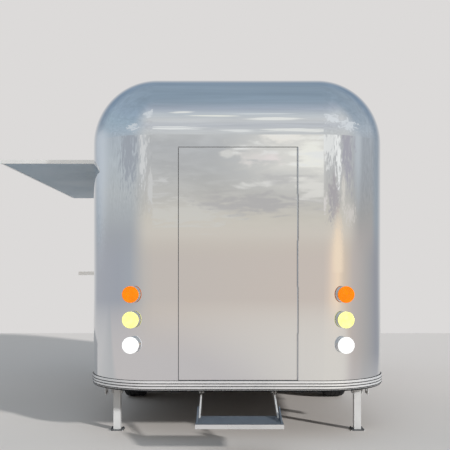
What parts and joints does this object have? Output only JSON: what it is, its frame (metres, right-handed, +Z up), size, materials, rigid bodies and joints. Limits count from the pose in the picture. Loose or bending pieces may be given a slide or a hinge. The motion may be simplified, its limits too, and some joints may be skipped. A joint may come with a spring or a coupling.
{
  "type": "food trailer",
  "caption": "Food trailer with a rounded polished-metal cabin, lift-up serving hatch, fold-down shelf, rear door, slide-out step, fold-up legs and ball coupling.",
  "frame": {"origin": "mouth of the coupling's ball socket, on its axis", "axes": "+Y forward in the direction of travel, +Z up, +X to the right; the rear door faces -Y and the serving hatch faces -X"},
  "size_m": [2.8805, 5.6982, 2.534],
  "materials": {
    "skin": "mirror polished sheet",
    "trim": "extruded, satin",
    "floor": "grey ribbed sheet over a sandwich panel",
    "chassis": "dark grey chassis paint",
    "housing": "moulded black",
    "pale_steel": "light grey powder coat",
    "rim": "silver wheel paint",
    "tyre": "moulded rubber",
    "hatch": "satin sheet",
    "step": "blue-grey paint",
    "lamp_body": "moulded",
    "lens_orange": "moulded",
    "lens_yellow": "moulded",
    "lens_white": "moulded",
    "counter": "brushed"
  },
  "bodies": {
    "trailer": {"rear_wall": "skin", "front_wall": "skin", "left_wall": "skin", "right_wall": "skin", "corner_rear_left": "skin", "corner_rear_right": "skin", "corner_front_left": "skin", "corner_front_right": "skin", "roof_panel": "skin", "sill_trim": "trim", "floor_panel": "floor", "left_rail": "chassis", "right_rail": "chassis", "cross_members": "chassis", "drawbar_left": "chassis", "drawbar_right": "chassis", "coupler": "chassis", "jack_tube": "chassis", "axle": "chassis", "step_guides": "chassis", "leg_brackets": "chassis", "hinge_pins": "chassis", "wheel_housing_left": "housing", "wheel_housing_right": "housing", "lashing_plates": "pale_steel", "lamp_housings": "lamp_body", "orange_lenses": "lens_orange", "yellow_lenses": "lens_yellow", "white_lenses": "lens_white", "serving_counter": "counter", "back_counter": "counter"},
    "left_wheel": {"left_rim": "rim", "left_tyre": "tyre"},
    "right_wheel": {"right_rim": "rim", "right_tyre": "tyre"},
    "door": {"rear_door": "skin"},
    "hatch": {"serving_hatch": "hatch"},
    "shelf": {"serving_shelf": "pale_steel"},
    "slide_step": {"step": "step", "step_nosing": "trim", "step_arms": "pale_steel"},
    "rear_left_leg": {"leg_rear_left": "pale_steel"},
    "rear_right_leg": {"leg_rear_right": "pale_steel"},
    "front_left_leg": {"leg_front_left": "pale_steel"},
    "front_right_leg": {"leg_front_right": "pale_steel"},
    "jack": {"jack_leg": "pale_steel"}
  },
  "joints": [
    {"name": "left_wheel_spin", "type": "hinge", "parent": "trailer", "child": "left_wheel", "pos_m": [-0.9015, -3.45, -0.034], "axis": [1, 0, 0], "continuous": true},
    {"name": "right_wheel_spin", "type": "hinge", "parent": "trailer", "child": "right_wheel", "pos_m": [0.9015, -3.45, -0.034], "axis": [1, 0, 0], "continuous": true},
    {"name": "door_swing", "type": "hinge", "parent": "trailer", "child": "door", "pos_m": [0.401, -5.2, 0.856], "axis": [0, 0, 1], "range_deg": [0, 110]},
    {"name": "hatch_close", "type": "hinge", "parent": "trailer", "child": "hatch", "pos_m": [-1.05, -3.2, 1.656], "axis": [0, -1, 0], "range_deg": [0, 90]},
    {"name": "shelf_fold", "type": "hinge", "parent": "trailer", "child": "shelf", "pos_m": [-1.056, -3.2, 0.766], "axis": [0, -1, 0], "range_deg": [0, 90]},
    {"name": "step_slide", "type": "slide", "parent": "trailer", "child": "slide_step", "axis": [0, 1, 0], "range_m": [0, 0.46]},
    {"name": "rear_left_leg_fold", "type": "hinge", "parent": "trailer", "child": "rear_left_leg", "pos_m": [-0.864, -4.85, -0.064], "axis": [1, 0, 0], "range_deg": [0, 90]},
    {"name": "rear_right_leg_fold", "type": "hinge", "parent": "trailer", "child": "rear_right_leg", "pos_m": [0.864, -4.85, -0.064], "axis": [1, 0, 0], "range_deg": [0, 90]},
    {"name": "front_left_leg_fold", "type": "hinge", "parent": "trailer", "child": "front_left_leg", "pos_m": [-0.864, -1.55, -0.064], "axis": [-1, 0, 0], "range_deg": [0, 90]},
    {"name": "front_right_leg_fold", "type": "hinge", "parent": "trailer", "child": "front_right_leg", "pos_m": [0.864, -1.55, -0.064], "axis": [-1, 0, 0], "range_deg": [0, 90]},
    {"name": "jack_lift", "type": "slide", "parent": "trailer", "child": "jack", "axis": [0, 0, 1], "range_m": [0, 0.22]}
  ]
}
